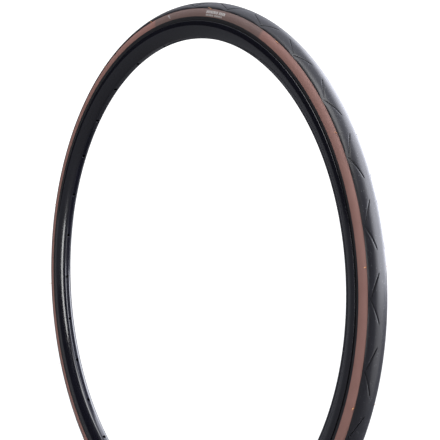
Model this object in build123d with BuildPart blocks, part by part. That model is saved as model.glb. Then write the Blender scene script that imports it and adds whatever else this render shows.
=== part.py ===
"""Road bicycle tyre, mounted and inflated on a hollow rim, with its inner tube and valve.

Frame: the wheel's centre is the origin, its axle runs along Y, and the valve points up from the
bottom, at -Z. "left" is the -Y side. Sections are drawn with X as the radius and Y along the axle,
and are revolved about Y. All sizes are in millimetres and degrees.
"""
from build123d import *
import os
from math import acos, asin, atan2, cos, degrees, hypot, radians, sin

# ---- Tyre ----
bead_seat_radius = 311.0      # a 622 mm bead seat
casing_width = 25.6           # over the plies, at the widest
tread_thickness = 2.1         # over the belt, in the middle
ply_thickness = 0.45
belt_thickness = 0.6
belt_width = 17.0
coat_thickness = 0.5          # brown side coat, and the black chafer that carries on from it
tread_edge_drop = 8.5         # from the middle of the tread down to its edges
tread_edge_inset = 0.5        # from the widest of the plies in to the tread's edges
side_coat_foot_drop = 3.0     # from the widest of the casing down to the side coat's lower edge
bead_throat_height = 5.04     # from the bead seat to where the casing starts to turn outwards
bead_throat_bend = 2.5        # how sharply it turns
bead_core_width = 1.8
bead_core_height = 2.4
bead_core_rounding = 0.6
vent_hair_count = 16          # on each side
vent_hair_length = 5.0
vent_hair_foot_radius = 0.45
vent_hair_tip_radius = 0.2
vent_hair_angle = 64.0        # from the crown, round the section
vent_hair_phase = 8.2         # turn of the first hair about the axle
hook_overhang = 0.2           # how far the ply's hook stands over the bead core

# ---- Rim ----
rim_width = 24.6
rim_height = 18.9
rim_side_height = 5.4         # the flat sides, from the flange's edge inwards
rim_bed_width = 8.0           # the sides slope in to it
rim_bed_rounding = 5.0
rim_side_rounding = 8.0
flange_thickness = 1.8
flange_height = 6.4           # above the bead seat
flange_inner_rounding = 1.0
flange_outer_rounding = 0.5
rim_wall = 1.4
well_depth = 3.0
well_width = 12.4
spoke_count = 28
spoke_hole_radius = 2.3
nipple_hole_radius = 4.2      # access hole through the tyre side of the rim
valve_hole_radius = 3.3
seam_width = 0.15
seam_depth = 0.2
sleeve_length = 17.0
sleeve_clearance = 0.1
sleeve_wall = 1.2
tape_thickness = 0.5
tape_side_clearance = 0.1
bead_side_clearance = 0.1

# ---- Inner tube ----
tube_wall = 0.9
tube_clearance = 0.15
tube_waist_rounding = 1.5

# ---- Valve, measured from the rim's inner face towards the wheel's centre ----
stem_radius = 3.0
stem_length = 35.0
stem_tip_radius = 2.6         # the thinner end that the cap goes over
stem_tip_length = 12.0
stem_tip_chamfer = 0.3
stem_groove_depth = 0.3       # thread relief above the lock nut
stem_groove_width = 0.8
stem_bore_radius = 1.5
stem_foot_radius = 5.0
stem_foot_thickness = 1.0
patch_length = 24.0
patch_width = 11.0
patch_thickness = 2.2
core_radius = 2.0
core_depth = 9.0
core_clearance = 0.05
core_head_radius = 2.5
core_head_height = 2.5
core_head_flats = 4.2
gasket_thickness = 0.5
gasket_bore_radius = 1.2
pin_radius = 0.8
pin_clearance = 0.05
pin_seal_radius = 1.3
pin_seal_thickness = 1.6
pin_stroke = 2.0
pin_nut_radius = 2.2
pin_nut_height = 2.6
pin_nut_lift = 0.8
pin_head_radius = 1.05
pin_head_height = 0.4
part_gap = 0.3                # between pieces that move apart
locknut_radius = 5.6
locknut_height = 3.9
locknut_gap = 0.1
thread_clearance = 0.06
cap_radius = 3.6
cap_bore_clearance = 0.1
cap_end_wall = 1.2
cap_end_rounding = 1.2
cap_tip_clearance = 0.8

# ---- Worked out from the sizes above ----
casing_radius = casing_width / 2
flange_radius = bead_seat_radius + flange_height
flange_inner_y = rim_width / 2 - flange_thickness
bead_outer_y = flange_inner_y - bead_side_clearance - coat_thickness
bed_radius = flange_radius - rim_height
well_radius = bead_seat_radius - well_depth
tape_radius = well_radius + tape_thickness

# The casing is round down to the throat, where it bends back to stand upright at the bead.
# How far round it goes, and how high the tyre stands, follow from where the bead stands.
throat_sweep = casing_radius + bead_throat_bend
throat_angle = degrees(acos(1 - (casing_radius - bead_outer_y) / throat_sweep))
bead_throat_radius = bead_seat_radius + bead_throat_height
section_radius = bead_throat_radius + throat_sweep * sin(radians(throat_angle))
tyre_radius = section_radius + casing_radius + belt_thickness + tread_thickness
tread_edge_radius = tyre_radius - tread_edge_drop
tread_edge_half_width = casing_radius - tread_edge_inset
side_coat_foot_radius = section_radius - side_coat_foot_drop

SIDE_PLANES = {
    "left": Plane(origin=(0, 0, 0), x_dir=(1, 0, 0), z_dir=(0, 0, -1)),
    "right": Plane.XY,
}

os.makedirs("parts", exist_ok=True)


def finish(piece, name):
    """Label a finished piece and write it to its own file."""
    piece.part.label = name
    export_step(piece.part, f"parts/{name}.step")


def around(angle):
    """A turn about the axle that brings +X to `angle`, counted from +X towards +Z."""
    return Location((0, 0, 0), (0, -angle, 0))


def casing_arc(offset, start, end):
    """Part of the round casing, `offset` outside the plies, between two angles from the crown."""
    return CenterArc((section_radius, 0), casing_radius + offset, start, end - start)


def throat_arc(offset):
    """The bend back to upright, above the bead."""
    centre = (bead_throat_radius, bead_outer_y + bead_throat_bend)
    return CenterArc(centre, bead_throat_bend - offset, throat_angle - 90, -throat_angle)


def bead_line(offset, foot):
    """The upright face of the bead, from the throat down to radius `foot`."""
    return Line((bead_throat_radius, bead_outer_y + offset), (foot, bead_outer_y + offset))


casing_end_angle = 90 + throat_angle      # where the round casing meets the throat

# ---- Casing plies: each runs from bead to bead ----
core_top_radius = bead_seat_radius + coat_thickness + ply_thickness + bead_core_height
core_outer_y = bead_outer_y - ply_thickness
core_inner_y = core_outer_y - bead_core_width
hook_inner_y = core_inner_y - ply_thickness
hook_foot_radius = bead_seat_radius + coat_thickness
core_foot_radius = hook_foot_radius + ply_thickness
hook_top_radius = core_top_radius + hook_overhang

with BuildPart() as casing_ply_inner:
    with BuildSketch(Plane.XY):
        with BuildLine():
            outer_start = casing_arc(-ply_thickness, 0, casing_end_angle)
            throat_arc(-ply_thickness)
            outer_end = bead_line(-ply_thickness, core_top_radius)
            inner_start = casing_arc(-2 * ply_thickness, 0, casing_end_angle)
            throat_arc(-2 * ply_thickness)
            inner_end = bead_line(-2 * ply_thickness, core_top_radius)
            Line(outer_start @ 0, inner_start @ 0)
            Line(outer_end @ 1, inner_end @ 1)
        make_face()
        mirror(about=Plane.XZ)
    revolve(axis=Axis.Y)
finish(casing_ply_inner, "casing_ply_inner")

with BuildPart() as casing_ply_outer:
    with BuildSketch(Plane.XY):
        with BuildLine():
            outer_start = casing_arc(0, 0, casing_end_angle)
            throat_arc(0)
            outer_end = bead_line(0, hook_foot_radius)
            inner_start = casing_arc(-ply_thickness, 0, casing_end_angle)
            throat_arc(-ply_thickness)
            inner_end = bead_line(-ply_thickness, core_foot_radius)
            Line(outer_start @ 0, inner_start @ 0)
            # the hook that wraps under the bead core and up its inner side
            Polyline(
                outer_end @ 1,
                (hook_foot_radius, hook_inner_y),
                (hook_top_radius, hook_inner_y),
                (hook_top_radius, core_inner_y),
                (core_foot_radius, core_inner_y),
                inner_end @ 1,
            )
        make_face()
        mirror(about=Plane.XZ)
    revolve(axis=Axis.Y)
finish(casing_ply_outer, "casing_ply_outer")

# ---- Bead cores: one hoop on each side ----
for side, plane in SIDE_PLANES.items():
    with BuildPart() as bead_core:
        with BuildSketch(plane):
            with Locations(((core_foot_radius + core_top_radius) / 2, (core_outer_y + core_inner_y) / 2)):
                RectangleRounded(bead_core_height, bead_core_width, bead_core_rounding)
        revolve(axis=Axis.Y)
    finish(bead_core, f"bead_core_{side}")

# ---- Puncture belt: under the middle of the tread ----
belt_half_angle = degrees(belt_width / 2 / (casing_radius + belt_thickness / 2))

with BuildPart() as puncture_belt:
    with BuildSketch(Plane.XY):
        with BuildLine():
            belt_top = casing_arc(belt_thickness, -belt_half_angle, belt_half_angle)
            belt_foot = casing_arc(0, -belt_half_angle, belt_half_angle)
            Line(belt_top @ 0, belt_foot @ 0)
            Line(belt_top @ 1, belt_foot @ 1)
        make_face()
    revolve(axis=Axis.Y)
finish(puncture_belt, "puncture_belt")

# ---- Tread: a crescent over the belt ----
tread_rise = tyre_radius - tread_edge_radius
tread_round = (tread_rise**2 + tread_edge_half_width**2) / (2 * tread_rise)
tread_centre_radius = tyre_radius - tread_round
tread_half_angle = degrees(atan2(tread_edge_half_width, tread_edge_radius - tread_centre_radius))
tread_edge_angle = degrees(atan2(tread_edge_half_width, tread_edge_radius - section_radius))

with BuildPart() as tread:
    with BuildSketch(Plane.XY):
        with BuildLine():
            face = CenterArc((tread_centre_radius, 0), tread_round, 0, tread_half_angle)
            foot = casing_arc(0, belt_half_angle, tread_edge_angle)
            over_belt = casing_arc(belt_thickness, 0, belt_half_angle)
            Line(face @ 1, foot @ 1)
            Line(foot @ 0, over_belt @ 1)
            Line(over_belt @ 0, face @ 0)
        make_face()
        mirror(about=Plane.XZ)
    revolve(axis=Axis.Y)
finish(tread, "tread")

# ---- Side coat and chafer: the brown skin, and the black strip that wraps the bead ----
coat_radius = casing_radius + coat_thickness
coat_foot_angle = 90 + degrees(asin((section_radius - side_coat_foot_radius) / coat_radius))
chafer_inner_y = hook_inner_y - coat_thickness

for side, plane in SIDE_PLANES.items():
    with BuildPart() as sidewall:
        with BuildSketch(plane):
            with BuildLine():
                coat_outside = casing_arc(coat_thickness, tread_edge_angle, coat_foot_angle)
                coat_inside = casing_arc(0, tread_edge_angle, coat_foot_angle)
                Line(coat_outside @ 0, coat_inside @ 0)
                Line(coat_outside @ 1, coat_inside @ 1)
            make_face()
        revolve(axis=Axis.Y)
    finish(sidewall, f"sidewall_{side}")

    with BuildPart() as chafer:
        with BuildSketch(plane):
            with BuildLine():
                strip_outside = casing_arc(coat_thickness, coat_foot_angle, casing_end_angle)
                throat_arc(coat_thickness)
                heel = bead_line(coat_thickness, bead_seat_radius)
                strip_inside = casing_arc(0, coat_foot_angle, casing_end_angle)
                throat_arc(0)
                toe = bead_line(0, hook_foot_radius)
                Line(strip_outside @ 0, strip_inside @ 0)
                Polyline(
                    heel @ 1,
                    (bead_seat_radius, chafer_inner_y),
                    (hook_top_radius, chafer_inner_y),
                    (hook_top_radius, hook_inner_y),
                    (hook_foot_radius, hook_inner_y),
                    toe @ 1,
                )
            make_face()
        revolve(axis=Axis.Y)
    finish(chafer, f"chafer_{side}")

# ---- Vent hairs: thin moulding whiskers standing out of the side coat, just below the tread ----
hair_out = Vector(cos(radians(vent_hair_angle)), sin(radians(vent_hair_angle)), 0)
hair_foot = Vector(section_radius, 0, 0) + hair_out * coat_radius
hair_step = 360 / vent_hair_count

for side, plane in SIDE_PLANES.items():
    hair_plane = Plane(
        origin=plane.from_local_coords(hair_foot),
        z_dir=plane.from_local_coords(hair_out),
    )
    with BuildPart() as vent_hairs:
        for index in range(vent_hair_count):
            with Locations(around(vent_hair_phase + hair_step * index) * hair_plane.location):
                Cone(
                    vent_hair_foot_radius,
                    vent_hair_tip_radius,
                    vent_hair_length,
                    align=(Align.CENTER, Align.CENTER, Align.MIN),
                )
    finish(vent_hairs, f"vent_hairs_{side}")

# ---- Rim: a hollow hoop, drilled for spokes and valve ----
rim_side_foot_radius = flange_radius - rim_side_height
side_slope = (rim_width - rim_bed_width) / 2 / (rim_side_foot_radius - bed_radius)
slant_wall = rim_wall * hypot(1, side_slope)      # the wall measured along the axle
hollow_foot_radius = bed_radius + rim_wall
hollow_top_radius = well_radius - rim_wall
hollow_rounding = rim_bed_rounding - rim_wall


def hollow_corners(shrink):
    """Corners of one half of the rim's inner space, drawn in by `shrink` all round."""

    def half_width(radius):
        outside = rim_bed_width / 2 + (radius - bed_radius) * side_slope
        return outside - slant_wall - shrink * hypot(1, side_slope)

    foot = hollow_foot_radius + shrink
    top = hollow_top_radius - shrink
    return [(foot, 0), (foot, half_width(foot)), (top, half_width(top)), (top, 0)]


spoke_step = 360 / spoke_count
valve_angle = 270.0
hole_reach = rim_height * 2

with BuildPart() as rim:
    with BuildSketch(Plane.XY):
        with BuildLine():
            Polyline(
                (bed_radius, 0),
                (bed_radius, rim_bed_width / 2),
                (rim_side_foot_radius, rim_width / 2),
                (flange_radius, rim_width / 2),
                (flange_radius, 0),
                close=True,
            )
        make_face()
        mirror(about=Plane.XZ)
        corner_rows = vertices().group_by(Axis.X)
        fillet(corner_rows[1], rim_side_rounding)
        fillet(vertices().group_by(Axis.X)[0], rim_bed_rounding)
        with Locations((bead_seat_radius, 0)):
            Rectangle(flange_height, 2 * flange_inner_y, align=(Align.MIN, Align.CENTER), mode=Mode.SUBTRACT)
        with Locations((well_radius, 0)):
            Rectangle(well_depth, well_width, align=(Align.MIN, Align.CENTER), mode=Mode.SUBTRACT)
        flange_corners = vertices().group_by(Axis.X)[-1].sort_by(Axis.Y)
        fillet([flange_corners[0], flange_corners[-1]], flange_outer_rounding)
        flange_tips = vertices().group_by(Axis.X)[-1].sort_by(lambda corner: abs(corner.Y))
        fillet(flange_tips[0:2], flange_inner_rounding)
    revolve(axis=Axis.Y)
    with BuildSketch(Plane.XY):
        with BuildLine():
            Polyline(*hollow_corners(0), close=True)
        make_face()
        mirror(about=Plane.XZ)
        fillet(vertices().group_by(Axis.X)[0], hollow_rounding)
    revolve(axis=Axis.Y, mode=Mode.SUBTRACT)
    for index in range(spoke_count):
        turn = around(valve_angle + spoke_step * (index + 0.5))
        spoke_axis = turn * Plane(origin=(0, 0, 0), z_dir=(1, 0, 0))
        with BuildSketch(spoke_axis.offset(bed_radius - rim_wall)):
            Circle(spoke_hole_radius)
        extrude(amount=3 * rim_wall, mode=Mode.SUBTRACT)
        with BuildSketch(spoke_axis.offset(hollow_top_radius - rim_wall)):
            Circle(nipple_hole_radius)
        extrude(amount=3 * rim_wall, mode=Mode.SUBTRACT)
    with BuildSketch(Plane.XY.offset(-bed_radius + rim_wall)):
        Circle(valve_hole_radius)
    extrude(amount=-hole_reach, mode=Mode.SUBTRACT)
    # the fine groove of the hoop's joint, across the bed opposite the valve
    with Locations((0, 0, bed_radius + seam_depth - rim_wall)):
        Box(seam_width, rim_width, rim_wall, align=(Align.CENTER, Align.CENTER, Align.MIN), mode=Mode.SUBTRACT)
finish(rim, "rim")

# ---- Joint sleeve: the plug inside the rim that holds the hoop's two ends together ----
sleeve_angle = degrees(sleeve_length / hollow_foot_radius)
sleeve_start = Plane.XY.rotated((0, -(90 - sleeve_angle / 2), 0))

with BuildPart() as rim_joint_sleeve:
    with BuildSketch(sleeve_start):
        with BuildLine():
            Polyline(*hollow_corners(sleeve_clearance), close=True)
        make_face()
        mirror(about=Plane.XZ)
        fillet(vertices().group_by(Axis.X)[0], hollow_rounding - sleeve_clearance)
        offset(amount=-sleeve_wall, mode=Mode.SUBTRACT, kind=Kind.INTERSECTION)
    revolve(axis=Axis.Y, revolution_arc=-sleeve_angle)
finish(rim_joint_sleeve, "rim_joint_sleeve")

# ---- Rim tape: lies in the well, over the nipple holes ----
tape_half_width = well_width / 2 - tape_side_clearance

with BuildPart() as rim_tape:
    with BuildSketch(Plane.XY):
        with Locations((well_radius, 0)):
            Rectangle(tape_thickness, 2 * tape_half_width, align=(Align.MIN, Align.CENTER))
    revolve(axis=Axis.Y)
    with BuildSketch(Plane.XY.offset(-bed_radius)):
        Circle(valve_hole_radius)
    extrude(amount=-hole_reach, mode=Mode.SUBTRACT)
finish(rim_tape, "rim_tape")

# ---- Valve: turned pieces on one upright axis ----
stem_foot_z = -(tape_radius + patch_thickness / 2)      # face of the foot buried in the patch
stem_tip_z = -bed_radius + stem_length
core_seat_z = stem_tip_z - core_depth
core_bottom_z = core_seat_z + gasket_thickness
core_top_z = stem_tip_z + core_head_height
pin_nut_foot_z = core_top_z + pin_stroke + part_gap
pin_nut_top_z = pin_nut_foot_z + pin_nut_height
pin_head_z = pin_nut_top_z + pin_nut_lift
pin_tip_z = pin_head_z + pin_head_height
pin_seal_top_z = core_seat_z - pin_clearance
locknut_seat_z = -bed_radius + locknut_gap
stem_shoulder_z = stem_tip_z - stem_tip_length
stem_groove_z = locknut_seat_z + locknut_height + part_gap
cap_mouth_z = stem_shoulder_z + part_gap
cap_ceiling_z = pin_tip_z + cap_tip_clearance
cap_bore_radius = stem_tip_radius + cap_bore_clearance

with BuildPart() as valve_stem:
    with BuildSketch(Plane.XY.offset(stem_foot_z)):
        Circle(stem_foot_radius)
    extrude(amount=stem_foot_thickness)
    with BuildSketch(Plane.XY.offset(stem_foot_z)):
        Circle(stem_radius)
    extrude(amount=stem_shoulder_z - stem_foot_z)
    with BuildSketch(Plane.XY.offset(stem_groove_z)):
        Circle(stem_radius)
        Circle(stem_radius - stem_groove_depth, mode=Mode.SUBTRACT)
    extrude(amount=stem_groove_width, mode=Mode.SUBTRACT)
    with BuildSketch(Plane.XY.offset(stem_shoulder_z)):
        Circle(stem_tip_radius)
    extrude(amount=stem_tip_length)
    chamfer(edges().filter_by(GeomType.CIRCLE).group_by(Axis.Z)[-1], stem_tip_chamfer)
    with BuildSketch(Plane.XY.offset(stem_foot_z)):
        Circle(stem_bore_radius)
    extrude(amount=stem_tip_z - stem_foot_z, mode=Mode.SUBTRACT)
    with BuildSketch(Plane.XY.offset(core_seat_z)):
        Circle(core_radius)
    extrude(amount=core_depth, mode=Mode.SUBTRACT)
finish(valve_stem, "valve_stem")

with BuildPart() as core_gasket:
    with BuildSketch(Plane.XY.offset(core_seat_z)):
        Circle(core_radius)
        Circle(gasket_bore_radius, mode=Mode.SUBTRACT)
    extrude(amount=gasket_thickness)
finish(core_gasket, "core_gasket")

with BuildPart() as valve_core:
    with BuildSketch(Plane.XY.offset(core_bottom_z)):
        Circle(core_radius - core_clearance)
    extrude(amount=stem_tip_z - core_bottom_z)
    with BuildSketch(Plane.XY.offset(stem_tip_z)):
        Circle(core_head_radius)
        Rectangle(2 * core_head_radius, core_head_flats, mode=Mode.INTERSECT)
    extrude(amount=core_head_height)
    with BuildSketch(Plane.XY.offset(core_bottom_z)):
        Circle(pin_radius + pin_clearance)
    extrude(amount=core_top_z - core_bottom_z, mode=Mode.SUBTRACT)
finish(valve_core, "valve_core")

with BuildPart() as valve_pin:
    with BuildSketch(Plane.XY.offset(pin_seal_top_z - pin_seal_thickness)):
        Circle(pin_radius)
    extrude(amount=pin_tip_z - pin_seal_top_z + pin_seal_thickness)
    with BuildSketch(Plane.XY.offset(pin_head_z)):
        Circle(pin_head_radius)
    extrude(amount=pin_head_height)
finish(valve_pin, "valve_pin")

with BuildPart() as pin_seal:
    with BuildSketch(Plane.XY.offset(pin_seal_top_z - pin_seal_thickness)):
        Circle(pin_seal_radius)
        Circle(pin_radius, mode=Mode.SUBTRACT)
    extrude(amount=pin_seal_thickness)
finish(pin_seal, "pin_seal")

with BuildPart() as pin_nut:
    with BuildSketch(Plane.XY.offset(pin_nut_foot_z)):
        Circle(pin_nut_radius)
        Circle(pin_radius + thread_clearance, mode=Mode.SUBTRACT)
    extrude(amount=pin_nut_height)
finish(pin_nut, "pin_nut")

with BuildPart() as valve_locknut:
    with BuildSketch(Plane.XY.offset(locknut_seat_z)):
        Circle(locknut_radius)
        Circle(stem_radius + thread_clearance, mode=Mode.SUBTRACT)
    extrude(amount=locknut_height)
finish(valve_locknut, "valve_locknut")

with BuildPart() as dust_cap:
    with BuildSketch(Plane.XY.offset(cap_mouth_z)):
        Circle(cap_radius)
    extrude(amount=cap_ceiling_z + cap_end_wall - cap_mouth_z)
    fillet(edges().filter_by(GeomType.CIRCLE).group_by(Axis.Z)[-1], cap_end_rounding)
    with BuildSketch(Plane.XY.offset(cap_mouth_z)):
        Circle(cap_bore_radius)
    extrude(amount=cap_ceiling_z - cap_mouth_z, mode=Mode.SUBTRACT)
finish(dust_cap, "dust_cap")

# ---- Valve patch: the thick rubber base moulded into the tube, round the stem's foot ----
patch_angle = degrees(patch_length / tape_radius)
patch_start = Plane.XY.rotated((0, 90 - patch_angle / 2, 0))

with BuildPart() as valve_patch:
    with BuildSketch(patch_start):
        with Locations((tape_radius, 0)):
            Rectangle(patch_thickness, patch_width, align=(Align.MIN, Align.CENTER))
    revolve(axis=Axis.Y, revolution_arc=patch_angle)
    with BuildSketch(Plane.XY.offset(stem_foot_z)):
        Circle(stem_foot_radius)
    extrude(amount=stem_foot_thickness, mode=Mode.SUBTRACT)
    with BuildSketch(Plane.XY.offset(stem_foot_z)):
        Circle(stem_radius)
    extrude(amount=patch_thickness, mode=Mode.SUBTRACT)
    with BuildSketch(Plane.XY.offset(stem_foot_z)):
        Circle(stem_bore_radius)
    extrude(amount=-patch_thickness, mode=Mode.SUBTRACT)
finish(valve_patch, "valve_patch")

# ---- Inner tube: fills the casing, passes between the beads and lies on the rim tape ----
tube_offset = -2 * ply_thickness - tube_clearance
tube_waist_y = min(chafer_inner_y, well_width / 2) - tube_clearance
tube_waist_radius = bead_throat_radius + part_gap

with BuildPart() as inner_tube:
    with BuildSketch(Plane.XY):
        with BuildLine():
            tube_side = casing_arc(tube_offset, 0, casing_end_angle)
            waist = Line(tube_side @ 1, (tube_waist_radius, tube_waist_y))
            Polyline(
                waist @ 1,
                (tape_radius, tube_waist_y),
                (tape_radius, 0),
                (section_radius + casing_radius + tube_offset, 0),
            )
        make_face()
        mirror(about=Plane.XZ)
        fillet(vertices().group_by(Axis.X)[0], tube_waist_rounding)
        offset(amount=-tube_wall, mode=Mode.SUBTRACT)
    revolve(axis=Axis.Y)
    with BuildSketch(patch_start):
        with Locations((tape_radius, 0)):
            Rectangle(patch_thickness, patch_width, align=(Align.MIN, Align.CENTER))
    revolve(axis=Axis.Y, revolution_arc=patch_angle, mode=Mode.SUBTRACT)
finish(inner_tube, "inner_tube")
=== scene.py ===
"""Looks for a road bicycle tyre on its rim: smooth rubber, cord, gloss black metal and a small valve.

Shapes are drawn in millimetres, and MM turns them into the scene's metres. Lamps, card and camera are
in metres. The wheel turns about Y, its section is drawn as (radius, distance along the axle), and the
valve is at the bottom.
"""
from math import acos, asin, atan2, cos, hypot, pi, radians, sin, tan
from random import Random

import bmesh
import bpy
from mathutils import Matrix, Vector


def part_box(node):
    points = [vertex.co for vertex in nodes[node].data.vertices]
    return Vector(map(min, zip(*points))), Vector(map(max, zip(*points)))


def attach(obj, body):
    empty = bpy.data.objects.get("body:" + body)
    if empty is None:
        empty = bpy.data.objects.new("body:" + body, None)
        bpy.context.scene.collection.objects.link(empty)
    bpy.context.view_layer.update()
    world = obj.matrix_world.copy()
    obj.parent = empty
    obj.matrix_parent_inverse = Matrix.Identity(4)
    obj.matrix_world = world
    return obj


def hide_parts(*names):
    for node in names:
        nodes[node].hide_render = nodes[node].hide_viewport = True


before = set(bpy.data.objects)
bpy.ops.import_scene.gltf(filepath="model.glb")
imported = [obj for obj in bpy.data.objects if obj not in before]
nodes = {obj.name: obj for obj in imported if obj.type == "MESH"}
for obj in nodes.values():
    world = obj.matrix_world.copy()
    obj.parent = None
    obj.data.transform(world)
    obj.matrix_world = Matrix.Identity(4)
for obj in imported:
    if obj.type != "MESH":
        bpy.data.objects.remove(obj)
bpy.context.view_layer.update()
MM = 0.001

# ---- Sizes shared with the frame ----
TYRE_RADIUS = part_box("tread")[1][2] / MM
CASING_RADIUS = 12.8
COAT = 0.5
SECTION_RADIUS = 325.0                    # radius to the middle of the round section
TREAD_EDGE = (332.0, 12.3)
COAT_FOOT_RADIUS = 322.0
BELT_THICKNESS = 0.6
THROAT = (316.04, 12.4)                   # middle of the bend above the bead
THROAT_BEND = 2.5
THROAT_ANGLE = 35.9
PITCHES = 32
PITCH_PHASE = 3.6                         # degrees to the first groove's outer end
HAIRS = 16
HAIR_PHASE = 8.2                          # degrees to the first whisker
SPOKES = 28
VALVE_TURN = 270                          # degrees round the wheel to the valve, at the bottom
BED_RADIUS = 298.5
WELL_RADIUS = 308.0
WELL_HALF_WIDTH = 6.2
BEAD_SEAT_RADIUS = 311.0
FLANGE_RADIUS = 317.4
FLANGE_INSIDE = 10.5
RIM_HALF_WIDTH = 12.3
SIDES = ((-1, "left"), (1, "right"))

COAT_RADIUS = CASING_RADIUS + COAT
TREAD_RISE = TYRE_RADIUS - TREAD_EDGE[0]
TREAD_ROUND = (TREAD_RISE**2 + TREAD_EDGE[1] ** 2) / (2 * TREAD_RISE)
TREAD_CENTRE = TYRE_RADIUS - TREAD_ROUND
TREAD_HALF_ANGLE = atan2(TREAD_EDGE[1], TREAD_EDGE[0] - TREAD_CENTRE)
EDGE_ANGLE = atan2(TREAD_EDGE[1], TREAD_EDGE[0] - SECTION_RADIUS)


# ---------------------------------------------------------------- making meshes
def place(bm, name, material, body="root", replaces=(), smooth_angle=40.0):
    """Turn a bmesh into a finished piece of the object."""
    bmesh.ops.remove_doubles(bm, verts=bm.verts, dist=1e-6)
    mesh = bpy.data.meshes.new(name)
    bm.to_mesh(mesh)
    bm.free()
    for face in mesh.polygons:
        face.use_smooth = True
    mesh.set_sharp_from_angle(angle=radians(smooth_angle))
    piece = bpy.data.objects.new(name, mesh)
    bpy.context.scene.collection.objects.link(piece)
    mesh.materials.append(material)
    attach(piece, body)
    if replaces:
        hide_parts(*replaces)
    return piece


def arc(centre, radius, start, end, steps):
    """Points of an arc in the section, between two angles in radians from the outward direction."""
    turn = [start + (end - start) * k / steps for k in range(steps + 1)]
    return [(centre[0] + radius * cos(a), centre[1] + radius * sin(a)) for a in turn]


def rounded(corners, steps=5):
    """An outline of (radius, axial, rounding) corners, each rounded corner drawn as an arc."""
    points = []
    count = len(corners)
    for k, (x, y, rounding) in enumerate(corners):
        here = Vector((x, y))
        if not rounding:
            points.append((x, y))
            continue
        to_last = (Vector(corners[k - 1][:2]) - here).normalized()
        to_next = (Vector(corners[(k + 1) % count][:2]) - here).normalized()
        half = acos(max(-1, min(1, to_last.dot(to_next)))) / 2
        centre = here + (to_last + to_next).normalized() * (rounding / sin(half))
        start = here + to_last * (rounding / tan(half)) - centre
        end = here + to_next * (rounding / tan(half)) - centre
        turn = start.angle_signed(end)
        for step in range(steps + 1):
            spoke = start.copy()
            spoke.rotate(Matrix.Rotation(-turn * step / steps, 2))
            points.append(tuple(centre + spoke))
    return points


def spun(outline, steps, axis=(0, 1, 0)):
    """A bmesh of a closed outline of (radius, along) points, in millimetres, spun about an axis."""
    bm = bmesh.new()
    upright = axis[2] == 1
    verts = []
    for radius, along in outline:
        at = Vector((radius, 0, along) if upright else (radius, along, 0)) * MM
        verts.append(bm.verts.new(at))
    edges = [bm.edges.new(pair) for pair in zip(verts, verts[1:] + verts[:1])]
    bmesh.ops.spin(
        bm, geom=verts + edges, axis=axis, cent=(0, 0, 0), steps=steps, angle=2 * pi, use_merge=True
    )
    bmesh.ops.remove_doubles(bm, verts=bm.verts, dist=1e-6)
    bmesh.ops.recalc_face_normals(bm, faces=bm.faces)
    return bm


def wheel_angle(at):
    """The angle of a point round the wheel, in radians."""
    return atan2(at.z, at.x)


def wrap_around(bm, centre_radius=SECTION_RADIUS):
    """A UV map in metres: along the tyre, and around its section from the crown."""
    layer = bm.loops.layers.uv.new("around")
    for face in bm.faces:
        middle = face.calc_center_median()
        home = wheel_angle(middle)
        home_section = atan2(middle.y, hypot(middle.x, middle.z) - centre_radius * MM)
        for loop in face.loops:
            at = loop.vert.co
            turn = wheel_angle(at) - home
            turn = home + (turn + pi) % (2 * pi) - pi
            section = atan2(at.y, hypot(at.x, at.z) - centre_radius * MM) - home_section
            section = home_section + (section + pi) % (2 * pi) - pi
            loop[layer].uv = (turn * centre_radius * MM, section * CASING_RADIUS * MM)


# ---------------------------------------------------------------- making materials
def finish_of(name, colour, roughness, **sockets):
    """A new material with its colour, roughness and other given sockets set: the material, its node tree and
    its shader node.
    """
    material = bpy.data.materials.new(name)
    material.use_nodes = True
    tree = material.node_tree
    shader = tree.nodes["Principled BSDF"]
    shader.inputs["Base Color"].default_value = (*colour, 1)
    shader.inputs["Roughness"].default_value = roughness
    for socket, value in sockets.items():
        shader.inputs[socket.replace("_", " ")].default_value = value
    return material, tree, shader


def add(tree, kind, settings=None, **sockets):
    """Add one node, with its settings and its socket values or links."""
    node = tree.nodes.new(kind)
    for key, value in (settings or {}).items():
        setattr(node, key, value)
    for key, value in sockets.items():
        socket = node.inputs[int(key[1:]) if key[0] == "i" and key[1:].isdigit() else key.replace("_", " ")]
        if isinstance(value, bpy.types.NodeSocket):
            tree.links.new(value, socket)
        else:
            socket.default_value = value
    return node


def object_point(tree):
    return add(tree, "ShaderNodeTexCoord").outputs["Object"]


def noise(tree, point, scale, detail=4.0, roughness=0.55):
    node = add(tree, "ShaderNodeTexNoise", Vector=point, Scale=scale, Detail=detail, Roughness=roughness)
    return node.outputs["Fac"]


def spread(tree, factor, low, high):
    """Map a 0 to 1 factor onto a range of values."""
    return add(tree, "ShaderNodeMapRange", Value=factor, To_Min=low, To_Max=high).outputs["Result"]


def blend_colours(tree, factor, one, two):
    node = add(tree, "ShaderNodeMix", {"data_type": "RGBA"}, Factor=factor, i6=(*one, 1), i7=(*two, 1))
    return node.outputs[2]


def calc(tree, operation, one, two=0.5):
    """One sum on one or two values. An operation on one value leaves the second alone."""
    return add(tree, "ShaderNodeMath", {"operation": operation}, i0=one, i1=two).outputs[0]


def bump(tree, shader, height, strength, distance, under=None):
    """Fine relief on a finish, on top of an earlier relief where one is given."""
    node = add(tree, "ShaderNodeBump", Height=height, Strength=strength, Distance=distance)
    if under is not None:
        tree.links.new(under, node.inputs["Normal"])
    tree.links.new(node.outputs["Normal"], shader.inputs["Normal"])
    return node.outputs["Normal"]


def stripes(tree, across, period):
    """Waves of a given period in metres across one coordinate, 0 to 1."""
    wave = calc(tree, "SINE", calc(tree, "MULTIPLY", across, 2 * pi / period))
    return add(tree, "ShaderNodeMapRange", Value=wave, From_Min=-1.0, From_Max=1.0).outputs["Result"]


def around(tree):
    """The piece's UV map, in metres along the tyre and around its section."""
    return add(tree, "ShaderNodeUVMap", {"uv_map": "around"}).outputs["UV"]


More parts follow.
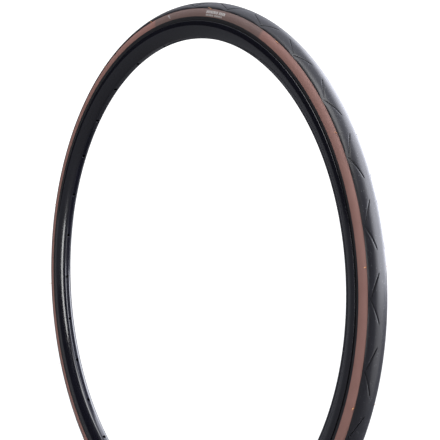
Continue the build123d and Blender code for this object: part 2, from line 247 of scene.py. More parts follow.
def tread_rubber():
    """Black silica tread: faint moulding lines around the crown, fine grain and pale dust specks."""
    material, tree, shader = finish_of("tread_rubber", (0.022, 0.022, 0.024), 0.5)
    point = object_point(tree)
    patches = noise(tree, point, 35.0)
    colour = blend_colours(tree, patches, (0.010, 0.010, 0.013), (0.019, 0.019, 0.023))
    specks = add(tree, "ShaderNodeTexVoronoi", Vector=point, Scale=420.0).outputs["Distance"]
    speck = calc(tree, "LESS_THAN", specks, 0.10)
    dust = (0.16, 0.16, 0.17, 1)
    dusty = add(tree, "ShaderNodeMix", {"data_type": "RGBA"}, Factor=speck, i6=colour, i7=dust)
    tree.links.new(dusty.outputs[2], shader.inputs["Base Color"])
    tree.links.new(spread(tree, noise(tree, point, 160.0), 0.27, 0.38), shader.inputs["Roughness"])
    stretched = add(tree, "ShaderNodeMapping", Vector=around(tree), Scale=(4.0, 1400.0, 1.0))
    lines = noise(tree, stretched.outputs["Vector"], 1.0, 2.0)
    relief = bump(tree, shader, lines, 0.25, 0.0001)
    bump(tree, shader, noise(tree, point, 1400.0), 0.12, 0.0001, relief)
    return material


# where the panel behind the print starts and ends along the tyre, and how softly, in metres
PANEL = (radians(58.0) * SECTION_RADIUS * MM, radians(97.0) * SECTION_RADIUS * MM)
PANEL_FADE = 0.004
WEAVE_PITCH = 0.0009


def side_coat():
    """Brown rubbered cord: a fine slanted weave under a thin satin coat."""
    material, tree, shader = finish_of("side_coat", (0.26, 0.145, 0.125), 0.55)
    parts = add(tree, "ShaderNodeSeparateXYZ", Vector=around(tree))
    along = parts.outputs["X"]
    across = parts.outputs["Y"]
    point = object_point(tree)
    one = stripes(tree, calc(tree, "ADD", along, across), WEAVE_PITCH)
    two = stripes(tree, calc(tree, "SUBTRACT", along, across), WEAVE_PITCH)
    weave = calc(tree, "MULTIPLY", one, two)
    mottle = noise(tree, point, 60.0)
    plain = blend_colours(tree, mottle, (0.290, 0.145, 0.118), (0.385, 0.203, 0.170))
    dull = blend_colours(tree, mottle, (0.175, 0.112, 0.098), (0.225, 0.148, 0.130))
    # the duller panel that carries the print
    start, end = PANEL
    after = add(tree, "ShaderNodeMapRange", Value=along, From_Min=start, From_Max=start + PANEL_FADE)
    before = add(tree, "ShaderNodeMapRange", Value=along, From_Min=end, From_Max=end - PANEL_FADE)
    panel = calc(tree, "MULTIPLY", after.outputs["Result"], before.outputs["Result"])
    base = add(tree, "ShaderNodeMix", {"data_type": "RGBA"}, Factor=panel, i6=plain, i7=dull).outputs[2]
    shade = spread(tree, weave, 0.86, 1.06)
    tinted = add(tree, "ShaderNodeMix", {"data_type": "RGBA", "blend_type": "MULTIPLY"}, Factor=1.0, i6=base)
    grey = add(tree, "ShaderNodeCombineColor", i0=shade, i1=shade, i2=shade).outputs["Color"]
    tree.links.new(grey, tinted.inputs[7])
    tree.links.new(tinted.outputs[2], shader.inputs["Base Color"])
    tree.links.new(spread(tree, noise(tree, point, 220.0), 0.48, 0.66), shader.inputs["Roughness"])
    relief = bump(tree, shader, weave, 0.3, 0.00012)
    bump(tree, shader, noise(tree, point, 900.0), 0.15, 0.0001, relief)
    return material


def plain_rubber(name, colour, low, high, grain=700.0, depth=0.2):
    """Rubber with a mottled colour, uneven sheen and fine grain."""
    material, tree, shader = finish_of(name, colour, (low + high) / 2)
    point = object_point(tree)
    darker = tuple(c * 0.72 for c in colour)
    lighter = tuple(min(1, c * 1.3) for c in colour)
    mottled = blend_colours(tree, noise(tree, point, 90.0), darker, lighter)
    tree.links.new(mottled, shader.inputs["Base Color"])
    tree.links.new(spread(tree, noise(tree, point, 240.0), low, high), shader.inputs["Roughness"])
    bump(tree, shader, noise(tree, point, grain), depth, 0.0001)
    return material


def rim_black():
    """Gloss black over metal: nearly even, with a very slight ripple and faint handling marks."""
    material, tree, shader = finish_of(
        "rim_black", (0.010, 0.010, 0.014), 0.2, Coat_Weight=0.6, Coat_Roughness=0.08
    )
    point = object_point(tree)
    tree.links.new(
        blend_colours(tree, noise(tree, point, 25.0), (0.004, 0.004, 0.007), (0.008, 0.008, 0.013)),
        shader.inputs["Base Color"],
    )
    tree.links.new(spread(tree, noise(tree, point, 70.0), 0.12, 0.22), shader.inputs["Roughness"])
    bump(tree, shader, noise(tree, point, 900.0, 2.0), 0.03, 0.00005)
    return material


def worked_metal(name, colour, low, high, metallic=1.0, brushed=(400.0, 400.0, 30.0)):
    """Turned or drawn metal: fine lines around or along the piece, and uneven polish."""
    material, tree, shader = finish_of(name, colour, (low + high) / 2, Metallic=metallic)
    point = object_point(tree)
    stretched = add(tree, "ShaderNodeMapping", Vector=point, Scale=brushed).outputs["Vector"]
    lines = noise(tree, stretched, 6.0, 3.0)
    darker = tuple(c * 0.82 for c in colour)
    clouded = blend_colours(tree, noise(tree, point, 300.0), darker, colour)
    tree.links.new(clouded, shader.inputs["Base Color"])
    tree.links.new(spread(tree, lines, low, high), shader.inputs["Roughness"])
    bump(tree, shader, lines, 0.12, 0.00004)
    return material


def cord_cloth(name, colour, pitch, slant=1.0):
    """Rubbered cord cloth: close threads that cross the piece, each slightly proud."""
    material, tree, shader = finish_of(name, colour, 0.75)
    point = object_point(tree)
    parts = add(tree, "ShaderNodeSeparateXYZ", Vector=point)
    turn = calc(tree, "ARCTAN2", parts.outputs["Z"], parts.outputs["X"])
    run = calc(tree, "MULTIPLY", turn, SECTION_RADIUS * MM)
    lean = calc(tree, "MULTIPLY", parts.outputs["Y"], slant)
    threads = stripes(tree, calc(tree, "ADD", run, lean), pitch)
    darker = tuple(c * 0.55 for c in colour)
    tree.links.new(blend_colours(tree, threads, darker, colour), shader.inputs["Base Color"])
    tree.links.new(spread(tree, noise(tree, point, 300.0), 0.6, 0.9), shader.inputs["Roughness"])
    bump(tree, shader, threads, 0.5, 0.0002)
    return material


def moulded_plastic():
    """Black plastic with the fine grain of its mould."""
    material, tree, shader = finish_of("cap_plastic", (0.02, 0.02, 0.021), 0.42)
    point = object_point(tree)
    tree.links.new(
        blend_colours(tree, noise(tree, point, 500.0), (0.015, 0.015, 0.016), (0.028, 0.028, 0.029)),
        shader.inputs["Base Color"],
    )
    tree.links.new(spread(tree, noise(tree, point, 1200.0), 0.36, 0.52), shader.inputs["Roughness"])
    bump(tree, shader, noise(tree, point, 2500.0), 0.2, 0.00005)
    return material


def print_ink():
    """Pale ink stamped on the side coat, worn thin in places."""
    material, tree, shader = finish_of("print_ink", (0.55, 0.53, 0.51), 0.6)
    point = object_point(tree)
    tree.links.new(
        blend_colours(tree, noise(tree, point, 900.0), (0.36, 0.33, 0.31), (0.62, 0.60, 0.58)),
        shader.inputs["Base Color"],
    )
    tree.links.new(spread(tree, noise(tree, point, 500.0), 0.5, 0.75), shader.inputs["Roughness"])
    bump(tree, shader, noise(tree, point, 1500.0), 0.15, 0.00005)
    return material


TREAD = tread_rubber()
COAT_BROWN = side_coat()
BEAD_BLACK = plain_rubber("bead_rubber", (0.012, 0.012, 0.014), 0.45, 0.65)
HAIR_TAN = plain_rubber("hair_rubber", (0.55, 0.26, 0.10), 0.45, 0.6)
TUBE_BLACK = plain_rubber("tube_rubber", (0.03, 0.03, 0.032), 0.6, 0.85, 500.0)
SEAL_BLACK = plain_rubber("seal_rubber", (0.02, 0.02, 0.02), 0.5, 0.7, 2000.0)
RIM_BLACK = rim_black()
NICKEL = worked_metal("nickel_plate", (0.72, 0.70, 0.66), 0.18, 0.36)
BRASS = worked_metal("plain_brass", (0.78, 0.58, 0.28), 0.22, 0.40)
STEEL = worked_metal("bead_wire", (0.52, 0.52, 0.54), 0.28, 0.5, brushed=(60.0, 900.0, 60.0))
SLEEVE = worked_metal("sleeve_metal", (0.66, 0.67, 0.69), 0.3, 0.5, brushed=(30.0, 500.0, 30.0))
PLY = cord_cloth("casing_cord", (0.16, 0.14, 0.12), 0.0006)
BELT = cord_cloth("belt_cord", (0.55, 0.43, 0.18), 0.0008, -0.6)
TAPE = cord_cloth("tape_cloth", (0.72, 0.72, 0.69), 0.0005, 0.0)
CAP = moulded_plastic()
INK = print_ink()


# ---------------------------------------------------------------- tread
def tread_point(along, section, height):
    """A point of the tread: angle round the wheel, angle round the section, height over its face."""
    radius = TREAD_CENTRE + (TREAD_ROUND + height) * cos(section)
    side = (TREAD_ROUND + height) * sin(section)
    return Vector((radius * cos(along), side, radius * sin(along))) * MM


# One pitch on one side is a sheet of cells. Its rows follow the grooves' zigzag, so one row of cells
# is the groove itself. Steps: the groove out to the shoulder, the turn, the groove back, the plain gap.
OUT_STEPS, TURN_STEPS, BACK_STEPS, GAP_STEPS = 11, 1, 12, 11
PITCH_STEPS = OUT_STEPS + TURN_STEPS + BACK_STEPS + GAP_STEPS
INNER_ROWS, OUTER_ROWS = 9, 7
GROOVE_WIDTH = 0.8
GROOVE_DEPTH = 1.0
INNER_OFFSET = asin(4.3 / TREAD_ROUND)
OUT_END = asin(10.4 / TREAD_ROUND)
BACK_START = asin(11.3 / TREAD_ROUND)
OUT_RUN, TURN_RUN, BACK_RUN = 0.325, 0.02, 0.345     # shares of a pitch
BOW = 0.035                                          # how far a groove bows from straight
EDGE_ROUNDING = 0.5
LIP_WIDTH = 0.35                                     # rounding beside a groove
LIP_DROP = 0.16
BACK_FIRST = OUT_STEPS + TURN_STEPS                  # columns where the groove back starts and ends
BACK_LAST = BACK_FIRST + BACK_STEPS
UNDER_SHARES = (1.0, 0.75, 0.5, 0.25, 0.0)           # shares of the edge's angle, on the under side
BELT_SHARE = 0.7                                     # the belt lies within this share


def zigzag(column):
    """Share of the pitch, and the groove's angle round the section, at one column of cells."""
    if column <= OUT_STEPS:
        t = column / OUT_STEPS
        return OUT_RUN * t, INNER_OFFSET + (OUT_END - INNER_OFFSET) * t + BOW * sin(pi * t)
    column -= OUT_STEPS
    if column <= TURN_STEPS:
        t = column / TURN_STEPS
        return OUT_RUN + TURN_RUN * t, OUT_END + (BACK_START - OUT_END) * t
    column -= TURN_STEPS
    if column <= BACK_STEPS:
        t = column / BACK_STEPS
        angle = BACK_START + (INNER_OFFSET - BACK_START) * t - BOW * sin(pi * t)
        return OUT_RUN + TURN_RUN + BACK_RUN * t, angle
    t = (column - BACK_STEPS) / GAP_STEPS
    used = OUT_RUN + TURN_RUN + BACK_RUN
    return used + (1 - used) * t, INNER_OFFSET


def tread_piece():
    """The tread: one side of one pitch made as a grid, then mirrored, repeated and closed underneath."""
    bm = bmesh.new()
    rows = INNER_ROWS + 1 + OUTER_ROWS
    bmesh.ops.create_grid(bm, x_segments=PITCH_STEPS, y_segments=rows, size=0.5)
    bm.verts.ensure_lookup_table()
    where = {}
    for vert in bm.verts:
        column = round((vert.co.x + 0.5) * PITCH_STEPS)
        row = round((vert.co.y + 0.5) * rows)
        where[vert] = (column, row)
    groove_width = GROOVE_WIDTH / TREAD_ROUND
    lip = LIP_WIDTH / TREAD_ROUND

    def cut_columns(column):
        """Whether both cells beside a column line are cut, so that its edges can be rounded down."""
        return 0 < column < OUT_STEPS or BACK_FIRST < column < BACK_LAST

    def is_groove(face):
        spots = [where[v] for v in face.verts]
        column = min(s[0] for s in spots)
        if min(s[1] for s in spots) != INNER_ROWS:
            return False
        return column < OUT_STEPS or BACK_FIRST <= column < BACK_LAST

    grooves = [f for f in bm.faces if is_groove(f)]
    pitch = 2 * pi / PITCHES
    for vert, (column, row) in where.items():
        share, line = zigzag(column)
        height = 0.0
        if row < INNER_ROWS:
            section = (line - lip) * row / (INNER_ROWS - 1)
        elif row <= INNER_ROWS + 1:
            section = line + groove_width * (row - INNER_ROWS)
            height = -LIP_DROP if cut_columns(column) else 0.0
        else:
            start = line + groove_width + lip
            section = start + (TREAD_HALF_ANGLE - start) * (row - INNER_ROWS - 2) / (OUTER_ROWS - 1)
        if row == rows:
            height = -EDGE_ROUNDING
        along = radians(PITCH_PHASE) + pitch * (OUT_RUN - share)
        vert.co = tread_point(along, section, height)
    sunk = bmesh.ops.extrude_face_region(bm, geom=grooves)
    for vert in [e for e in sunk["geom"] if isinstance(e, bmesh.types.BMVert)]:
        radius = hypot(vert.co.x, vert.co.z)
        core = Vector((vert.co.x, 0, vert.co.z)) * (TREAD_CENTRE * MM / radius)
        vert.co += (core - vert.co).normalized() * GROOVE_DEPTH * MM
    bmesh.ops.delete(bm, geom=grooves, context="FACES")
    bmesh.ops.mirror(bm, geom=bm.verts[:] + bm.edges[:] + bm.faces[:], axis="Y", merge_dist=1e-7)
    bmesh.ops.spin(
        bm, geom=bm.verts[:] + bm.edges[:] + bm.faces[:], axis=(0, 1, 0), cent=(0, 0, 0),
        steps=PITCHES - 1, angle=pitch * (PITCHES - 1), use_duplicate=True,
    )
    bmesh.ops.remove_doubles(bm, verts=bm.verts, dist=2e-6)
    # the under side: carried in from both edges until the two meet under the crown
    rims = [e for e in bm.edges if e.is_boundary]
    for share in UNDER_SHARES:
        angle = EDGE_ANGLE * share
        lift = BELT_THICKNESS if share < BELT_SHARE else 0.0
        fresh = bmesh.ops.extrude_edge_only(bm, edges=rims)["geom"]
        rims = [e for e in fresh if isinstance(e, bmesh.types.BMEdge)]
        for vert in {v for e in rims for v in e.verts}:
            radius = SECTION_RADIUS + (CASING_RADIUS + lift) * cos(angle)
            side = (CASING_RADIUS + lift) * sin(angle) * (1 if vert.co.y > 0 else -1)
            turn = wheel_angle(vert.co)
            vert.co = Vector((radius * cos(turn), side, radius * sin(turn))) * MM
    bmesh.ops.remove_doubles(bm, verts=bm.verts, dist=2e-6)
    bmesh.ops.recalc_face_normals(bm, faces=bm.faces)
    wrap_around(bm, TREAD_CENTRE)
    return place(bm, "tread_face", TREAD, replaces=["tread"], smooth_angle=38.0)


tread_piece()


# ---------------------------------------------------------------- side coats, bead strips, hairs, print
def mirrored(outline, side):
    return [(radius, side * along) for radius, along in outline]


foot_angle = pi / 2 + asin((SECTION_RADIUS - COAT_FOOT_RADIUS) / COAT_RADIUS)
end_angle = pi / 2 + radians(THROAT_ANGLE)
bend_start = radians(THROAT_ANGLE - 90)
STRIP_HEEL = 10.4
STRIP_TOE = 6.7
STRIP_TOE_RADIUS = 314.56

for side, label in SIDES:
    middle = (SECTION_RADIUS, 0)
    coat_outline = arc(middle, COAT_RADIUS, EDGE_ANGLE, foot_angle, 14)
    coat_outline += arc(middle, CASING_RADIUS, foot_angle, EDGE_ANGLE, 6)
    bm = spun(mirrored(coat_outline, side), 512)
    wrap_around(bm)
    place(bm, f"side_coat_{label}", COAT_BROWN, replaces=[f"sidewall_{label}"])

    strip_outline = arc(middle, COAT_RADIUS, foot_angle, end_angle, 5)
    strip_outline += arc(THROAT, THROAT_BEND - COAT, bend_start, -pi / 2, 5)[1:]
    strip_outline += [(BEAD_SEAT_RADIUS, STRIP_HEEL), (BEAD_SEAT_RADIUS, STRIP_TOE)]
    strip_outline += [(STRIP_TOE_RADIUS, STRIP_TOE), (STRIP_TOE_RADIUS, STRIP_TOE + COAT)]
    strip_outline += [(BEAD_SEAT_RADIUS + COAT, STRIP_TOE + COAT)]
    strip_outline += [(BEAD_SEAT_RADIUS + COAT, STRIP_HEEL - COAT)]
    strip_outline += arc(THROAT, THROAT_BEND, -pi / 2, bend_start, 5)
    strip_outline += arc(middle, CASING_RADIUS, end_angle, foot_angle, 5)[1:]
    bm = spun(mirrored(strip_outline, side), 360)
    wrap_around(bm)
    place(bm, f"bead_strip_{label}", BEAD_BLACK, replaces=[f"chafer_{label}"])


def pour(target, source):
    """Add one bmesh to another and free it."""
    carrier = bpy.data.meshes.new("carrier")
    source.to_mesh(carrier)
    source.free()
    target.from_mesh(carrier)
    bpy.data.meshes.remove(carrier)


HAIR_LENGTH = 5.0
HAIR_FOOT = 0.42
HAIR_TIP = 0.16
HAIR_CUTS = 4
HAIR_LEAN = 1.1                           # how far a tip may lean each way
HAIR_SECTION = radians(64)                # where they stand round the section


def vent_hairs(side, label):
    """Moulding whiskers: thin tapered rods, each bent its own way."""
    chance = Random(7 if side < 0 else 11)
    bm = bmesh.new()
    length = HAIR_LENGTH * MM
    out = Vector((cos(HAIR_SECTION), side * sin(HAIR_SECTION), 0))
    base = Vector((SECTION_RADIUS, 0, 0)) + out * COAT_RADIUS
    for k in range(HAIRS):
        rod = bmesh.new()
        bmesh.ops.create_cone(
            rod, cap_ends=True, segments=7, radius1=HAIR_FOOT * MM, radius2=HAIR_TIP * MM, depth=length
        )
        sides = [e for e in rod.edges if abs(e.verts[0].co.z - e.verts[1].co.z) > 0.5 * length]
        bmesh.ops.subdivide_edges(rod, edges=sides, cuts=HAIR_CUTS)
        lean = Vector((chance.uniform(-1, 1), chance.uniform(-1, 1), 0)) * HAIR_LEAN * MM
        for vert in rod.verts:
            vert.co.z += length / 2
            vert.co += lean * (vert.co.z / length) ** 2
        turn = Vector((0, 0, 1)).rotation_difference(out).to_matrix()
        bmesh.ops.transform(rod, matrix=turn.to_4x4(), verts=rod.verts)
        bmesh.ops.translate(rod, verts=rod.verts, vec=base * MM)
        angle = radians(HAIR_PHASE) + 2 * pi * k / HAIRS
        bmesh.ops.rotate(rod, verts=rod.verts, cent=(0, 0, 0), matrix=Matrix.Rotation(-angle, 3, "Y"))
        pour(bm, rod)
    bmesh.ops.recalc_face_normals(bm, faces=bm.faces)
    place(bm, f"whiskers_{label}", HAIR_TAN, replaces=[f"vent_hairs_{label}"])


for side, label in SIDES:
    vent_hairs(side, label)


PRINT_START = 77.0                        # degrees round the wheel to the first block
MARK_TURN = 91.2                          # and to the slanted mark
PRINT_LIFT = 0.06
PRINT_THICKNESS = 0.05
BLOCK_GAP = 0.8
WORD_GAP = 1.0
# rows of blocks: angle round the section, height, and lengths along the tyre, where 0 is a wider gap
PRINT_ROWS = (
    (1.36, 3.2, (2.4, 2.4, 1.2, 2.4, 2.0, 2.4, 1.2, 2.4, 0, 2.4, 2.4, 2.0, 2.4)),
    (1.63, 1.9, (1.6, 1.4, 0.6, 1.6, 1.6, 1.2, 1.6, 0, 1.6, 1.4, 1.6, 1.2, 1.6, 0.6, 1.6)),
)


def stamp(bm, turn, section, length, height, side):
    """One flat bar of print, laid on the side coat."""
    made = bmesh.ops.create_grid(bm, x_segments=4, y_segments=2, size=0.5)["verts"]
    for vert in made:
        along = turn + vert.co.x * length / SECTION_RADIUS
        across = section + vert.co.y * height / COAT_RADIUS
        radius = SECTION_RADIUS + (COAT_RADIUS + PRINT_LIFT) * cos(across)
        depth = side * (COAT_RADIUS + PRINT_LIFT) * sin(across)
        vert.co = Vector((radius * cos(along), depth, radius * sin(along))) * MM


def printed_marks(side, label):
    """Plain blocks where a maker's words would be, and one small slanted mark before them."""
    bm = bmesh.new()
    for section, height, lengths in PRINT_ROWS:
        turn = radians(PRINT_START)
        for length in lengths:
            if length:
                stamp(bm, turn - length / 2 / SECTION_RADIUS, section, length, height, side)
            turn -= ((length or WORD_GAP) + BLOCK_GAP) / SECTION_RADIUS
    for step in range(4):
        stamp(bm, radians(MARK_TURN) - step * 0.004, 1.28 + 0.1 * step, 2.6 - 0.5 * step, 1.35, side)
    bmesh.ops.solidify(bm, geom=bm.faces[:], thickness=PRINT_THICKNESS * MM)
    bmesh.ops.recalc_face_normals(bm, faces=bm.faces)
    piece = place(bm, f"side_print_{label}", INK)


for side, label in SIDES:
    printed_marks(side, label)


# ---------------------------------------------------------------- rim
SPOKE_HOLE = 2.3
VALVE_HOLE = 3.3
DRILL_DEPTH = 8.0


def drill(mouth, radius, depth, sink, axis_turn):
    """A drill's shape for one radial hole, with a slight countersink at the rim's inner face."""
    outline = [(0.0001, mouth - 2), (radius + sink + 2, mouth - 2), (radius, mouth + sink)]
    outline += [(radius, mouth + depth), (0.0001, mouth + depth)]
    bm = bmesh.new()
    verts = [bm.verts.new((along * MM, 0, across * MM)) for across, along in outline]
    edges = [bm.edges.new(pair) for pair in zip(verts, verts[1:] + verts[:1])]
    bmesh.ops.spin(
        bm, geom=verts + edges, axis=(1, 0, 0), cent=(0, 0, 0), steps=28, angle=2 * pi, use_merge=True
    )
    bmesh.ops.remove_doubles(bm, verts=bm.verts, dist=1e-6)
    bmesh.ops.recalc_face_normals(bm, faces=bm.faces)
    bmesh.ops.rotate(bm, verts=bm.verts, cent=(0, 0, 0), matrix=Matrix.Rotation(-axis_turn, 3, "Y"))
    return bm


def rim_piece():
    """The hoop's section spun round the wheel, then drilled for the spokes and the valve."""
    half = [
        (BED_RADIUS, 4.0, 5.0), (304.8, 8.9, 40.0), (312.0, RIM_HALF_WIDTH, 8.0),
        (FLANGE_RADIUS, RIM_HALF_WIDTH, 0.5),
        (FLANGE_RADIUS, FLANGE_INSIDE, 1.0), (BEAD_SEAT_RADIUS, FLANGE_INSIDE, 0.0),
        (BEAD_SEAT_RADIUS, WELL_HALF_WIDTH, 0.0), (WELL_RADIUS, WELL_HALF_WIDTH, 0.0),
    ]
    corners = half + [(radius, -along, rounding) for radius, along, rounding in reversed(half)]
    bm = spun(rounded(corners, 9), SPOKES * 18)
    rim = place(bm, "rim_hoop", RIM_BLACK, replaces=["rim"], smooth_angle=35.0)

    drills = bmesh.new()
    holes = [
        (radians(VALVE_TURN + 360 / SPOKES * (k + 0.5)), SPOKE_HOLE, 0.25) for k in range(SPOKES)
    ]
    holes.append((radians(VALVE_TURN), VALVE_HOLE, 0.3))
    for turn, radius, sink in holes:
        pour(drills, drill(BED_RADIUS, radius, DRILL_DEPTH, sink, turn))
    # the joint of the hoop: a hairline across the bed, opposite the valve
    seam = bmesh.ops.create_cube(drills, size=1.0)["verts"]
    bmesh.ops.scale(drills, verts=seam, vec=(0.12 * MM, 30 * MM, 0.5 * MM))
    bmesh.ops.translate(drills, verts=seam, vec=(0, 0, BED_RADIUS * MM))
    mesh = bpy.data.meshes.new("drills")
    drills.to_mesh(mesh)
    drills.free()
    cutter = bpy.data.objects.new("drills", mesh)
    bpy.context.scene.collection.objects.link(cutter)
    cut = rim.modifiers.new("holes", "BOOLEAN")
    cut.operation = "DIFFERENCE"
    cut.solver = "EXACT"
    cut.object = cutter
    bpy.context.view_layer.update()
    shaped = bpy.data.meshes.new_from_object(rim.evaluated_get(bpy.context.evaluated_depsgraph_get()))
    rim.modifiers.clear()
    old = rim.data
    rim.data = shaped
    bpy.data.meshes.remove(old)
    bpy.data.objects.remove(cutter)
    shaped.set_sharp_from_angle(angle=radians(35))


rim_piece()

# ---------------------------------------------------------------- valve
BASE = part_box("valve_stem")[0][2] / MM
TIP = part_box("valve_stem")[1][2] / MM


def node_span(name):
    low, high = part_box(name)
    return low[2] / MM, high[2] / MM


def threaded(radius, low, high, pitch, depth):
    """Outline of a thread, as close rings from low to high."""
    points = []
    count = int((high - low) / pitch)
    for k in range(count):
        z = low + k * pitch
        points += [(radius - depth, z), (radius, z + pitch * 0.35), (radius, z + pitch * 0.65)]
    points.append((radius - depth, low + count * pitch))
    return points


def turned(name, outline, material, body, replaces, segments=48, ribs=0, rib_depth=0.0, rib_span=(0, 0)):
    """A piece turned about the valve's axis, with straight ribs pressed into part of its side."""
    bm = spun(outline, segments, axis=(0, 0, 1))
    if ribs:
        edge = max(hypot(v.co.x, v.co.y) for v in bm.verts)
        for vert in bm.verts:
            radius = hypot(vert.co.x, vert.co.y)
            if radius > edge - 0.25 * MM and rib_span[0] * MM <= vert.co.z <= rib_span[1] * MM:
                dip = 0.5 - 0.5 * cos(ribs * atan2(vert.co.y, vert.co.x))
                share = 1 - rib_depth * MM * dip / radius
                vert.co.x *= share
                vert.co.y *= share
    bmesh.ops.recalc_face_normals(bm, faces=bm.faces)
    return place(bm, name, material, body, replaces, smooth_angle=32.0)


nut_low, nut_high = node_span("valve_locknut")
cap_low, cap_high = node_span("dust_cap")
knurl_low, knurl_high = node_span("pin_nut")
shoulder = TIP - 12.0
core_seat = TIP - 9.0
STEM_RADIUS = 3.0
STEM_BORE = 1.5
CORE_BORE = 2.0
FOOT_RADIUS = 5.0
FOOT_THICKNESS = 1.0
TIP_RADIUS = 2.6
TIP_ROOT = 2.35                           # radius under the tip's thread
foot_top = BASE + FOOT_THICKNESS
stem_outline = [(STEM_BORE, BASE), (FOOT_RADIUS, BASE), (FOOT_RADIUS, foot_top), (2.75, foot_top)]
stem_outline += threaded(STEM_RADIUS, BASE + 1.6, shoulder - 0.4, 0.8, 0.32)
stem_outline += [(2.9, shoulder), (TIP_ROOT, shoulder)]
stem_outline += threaded(TIP_RADIUS, shoulder + 0.3, TIP - 0.5, 0.7, 0.25)
stem_outline += [(TIP_ROOT, TIP), (CORE_BORE, TIP), (CORE_BORE, core_seat), (STEM_BORE, core_seat)]
turned("threaded_stem", stem_outline, NICKEL, "root", ["valve_stem"])

NUT_BORE = 3.06
NUT_RADIUS = 5.6
nut_outline = [(NUT_BORE, nut_low, 0.3), (4.6, nut_low, 0.2), (NUT_RADIUS, nut_low + 0.9, 0.2)]
nut_outline = rounded(nut_outline + [(NUT_RADIUS, nut_high, 0.4), (NUT_BORE, nut_high, 0.3)], 3)
turned("ring_nut", nut_outline, NICKEL, "locknut", ["valve_locknut"], 144, 36, 0.28, (nut_low, nut_high))

CAP_BORE = 2.72
CAP_RADIUS = 3.6
AXIS_GAP = 0.001                          # an outline stops this short of the axis, and merging closes it
cap_outline = [
    (CAP_BORE, cap_low), (3.35, cap_low), (CAP_RADIUS, cap_low + 0.5), (CAP_RADIUS, cap_low + 6.0),
    (CAP_RADIUS, cap_low + 11.5), (3.42, cap_low + 12.0), (3.35, cap_high - 4.0),
    (2.9, cap_high - 1.0), (2.2, cap_high - 0.25), (0.9, cap_high),
    (AXIS_GAP, cap_high), (AXIS_GAP, cap_high - 1.2), (CAP_BORE, cap_high - 1.4),
]
turned("cap_shell", cap_outline, CAP, "cap", ["dust_cap"], 144, 24, 0.3, (cap_low + 0.6, cap_low + 11.6))

KNURL_BORE = 0.86
KNURL_RADIUS = 2.2
knurl_outline = [(KNURL_BORE, knurl_low, 0.0), (2.0, knurl_low, 0.2), (KNURL_RADIUS, knurl_low + 0.5, 0.1)]
knurl_outline += [(KNURL_RADIUS, knurl_high, 0.25), (KNURL_BORE, knurl_high, 0.0)]
knurl_outline = rounded(knurl_outline, 3)
knurl_span = (knurl_low + 0.4, knurl_high - 0.2)
turned("knurled_nut", knurl_outline, BRASS, "knurl", ["pin_nut"], 96, 24, 0.18, knurl_span)

# ---------------------------------------------------------------- finishes of the frame's own pieces
carried = {
    "casing_ply_inner": PLY, "casing_ply_outer": PLY, "puncture_belt": BELT,
    "bead_core_left": STEEL, "bead_core_right": STEEL, "rim_joint_sleeve": SLEEVE, "rim_tape": TAPE,
    "inner_tube": TUBE_BLACK, "valve_patch": TUBE_BLACK, "valve_core": BRASS, "core_gasket": SEAL_BLACK,
    "valve_pin": BRASS, "pin_seal": SEAL_BLACK,
}
for name, material in carried.items():
    node = nodes[name]
    node.data.materials.clear()
    node.data.materials.append(material)

# ---------------------------------------------------------------- floor, light and camera
def glow(name, width, height, at, aim, power):
    """A soft box: a rectangle of light that faces a point."""
    data = bpy.data.lights.new(name, "AREA")
    data.shape = "RECTANGLE"
    data.size = width
    data.size_y = height
    data.energy = power
    lamp = bpy.data.objects.new(name, data)
    lamp.location = at
    lamp.visible_camera = False
    lamp.rotation_mode = "QUATERNION"
    lamp.rotation_quaternion = (Vector(aim) - Vector(at)).to_track_quat("-Z", "Y")
    bpy.context.scene.collection.objects.link(lamp)


FLOOR_REACH = 12.0
FLOOR_GLOW = 0.95                         # only the camera sees this, so it lights nothing
floor_mesh = bpy.data.meshes.new("floor")
bm = bmesh.new()
bmesh.ops.create_grid(bm, x_segments=1, y_segments=1, size=FLOOR_REACH)
bmesh.ops.translate(bm, verts=bm.verts, vec=(0, 0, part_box("tread")[0][2] - 0.001))
bm.to_mesh(floor_mesh)
bm.free()
floor = bpy.data.objects.new("floor", floor_mesh)
bpy.context.scene.collection.objects.link(floor)
floor_paint, tree, shader = finish_of("floor_paint", (0.06, 0.06, 0.06), 0.9)
shader.inputs["Emission Color"].default_value = (1, 1, 1, 1)
floor_path = add(tree, "ShaderNodeLightPath")
tree.links.new(
    spread(tree, floor_path.outputs["Is Camera Ray"], 0.0, FLOOR_GLOW), shader.inputs["Emission Strength"]
)
floor_mesh.materials.append(floor_paint)

# a dark card behind the left of the wheel keeps the bright sweep off the rim's inner face
card_mesh = bpy.data.meshes.new("dark_card")
bm = bmesh.new()
bmesh.ops.create_grid(bm, x_segments=1, y_segments=1, size=0.5)
bmesh.ops.transform(bm, matrix=Matrix.Diagonal((0.26, 0.85, 1, 1)), verts=bm.verts)
bmesh.ops.rotate(bm, verts=bm.verts, cent=(0, 0, 0), matrix=Matrix.Rotation(radians(90), 3, "X"))
bmesh.ops.rotate(bm, verts=bm.verts, cent=(0, 0, 0), matrix=Matrix.Rotation(radians(90), 3, "Z"))
bmesh.ops.translate(bm, verts=bm.verts, vec=(-0.1, 0.18, 0.06))
bm.to_mesh(card_mesh)
bm.free()
card = bpy.data.objects.new("dark_card", card_mesh)
bpy.context.scene.collection.objects.link(card)
card.visible_camera = False
card.visible_shadow = False
card.visible_diffuse = False
card_mesh.materials.append(finish_of("dark_paint", (0.01, 0.01, 0.012), 0.9)[0])

world = bpy.data.worlds.new("studio")
bpy.context.scene.world = world
world.use_nodes = True
tree = world.node_tree
sky = tree.nodes["Background"]
to_camera = add(tree, "ShaderNodeLightPath").outputs["Is Camera Ray"]
tree.links.new(blend_colours(tree, to_camera, (0.88, 0.90, 1.0), (1, 1, 1)), sky.inputs["Color"])
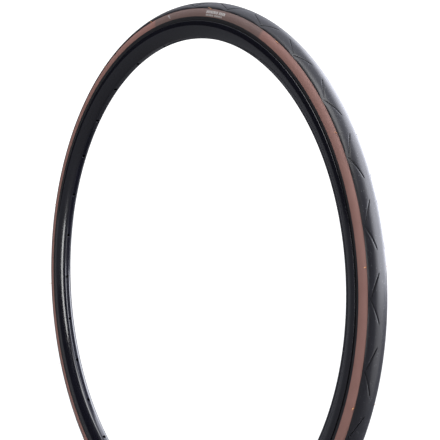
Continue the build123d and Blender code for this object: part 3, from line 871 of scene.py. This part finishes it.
# what the object reflects: a bright sweep behind and to the right, a soft ceiling, darkness elsewhere
SWEEP_AIM = (0.54, 0.83, 0.1)
SWEEP_STRENGTH = 6.2
DARK_STRENGTH = 0.015
CEILING_STRENGTH = 1.3
BACKDROP_STRENGTH = 1.3
aim = add(tree, "ShaderNodeTexCoord").outputs["Generated"]
sweep = add(tree, "ShaderNodeVectorMath", {"operation": "DOT_PRODUCT"}, i0=aim, i1=SWEEP_AIM)
sweep = add(
    tree, "ShaderNodeMapRange", {"interpolation_type": "SMOOTHSTEP"},
    Value=sweep.outputs["Value"], From_Min=0.25, From_Max=0.75,
    To_Min=DARK_STRENGTH, To_Max=SWEEP_STRENGTH,
).outputs["Result"]
height = add(tree, "ShaderNodeSeparateXYZ", Vector=aim).outputs["Z"]
ceiling = add(
    tree, "ShaderNodeMapRange", {"interpolation_type": "SMOOTHSTEP"},
    Value=height, From_Min=0.4, From_Max=0.8, To_Min=0.0, To_Max=CEILING_STRENGTH,
).outputs["Result"]
reflected = calc(tree, "ADD", sweep, ceiling)
seen = add(tree, "ShaderNodeMix", Factor=to_camera, i2=reflected, i3=BACKDROP_STRENGTH)
tree.links.new(seen.outputs[0], sky.inputs["Strength"])

glow("front_box", 1.6, 1.6, (0.3, -2.0, 1.9), (0, 0, 0), 34)
glow("right_box", 0.5, 0.9, (0.75, 0.12, 0.1), (0.34, 0, 0.1), 2.0)
glow("left_strip", 0.16, 0.9, (-0.1, -1.7, -0.15), (-0.3, 0, 0), 4.5)

# the camera stands level, then swings about the axle by the angle that the wheel is turned
WHEEL_TURN = radians(3.12)
eye = Vector((0.74597, -0.50095, 0.06552))
right = Vector((0.61372, 0.78951, 0.00478))
up = Vector((0.00373, -0.00896, 0.99995))
back = right.cross(up)
spin = Matrix.Rotation(-WHEEL_TURN, 4, "Y")
pose = Matrix((right, up, back)).transposed().to_4x4()
pose.translation = eye
camera_data = bpy.data.cameras.new("camera")
camera_data.sensor_width = 36.0
camera_data.lens = 57.551
camera = bpy.data.objects.new("camera", camera_data)
camera.matrix_world = spin @ pose
bpy.context.scene.collection.objects.link(camera)
bpy.context.scene.camera = camera
bpy.context.scene.view_settings.view_transform = "Standard"
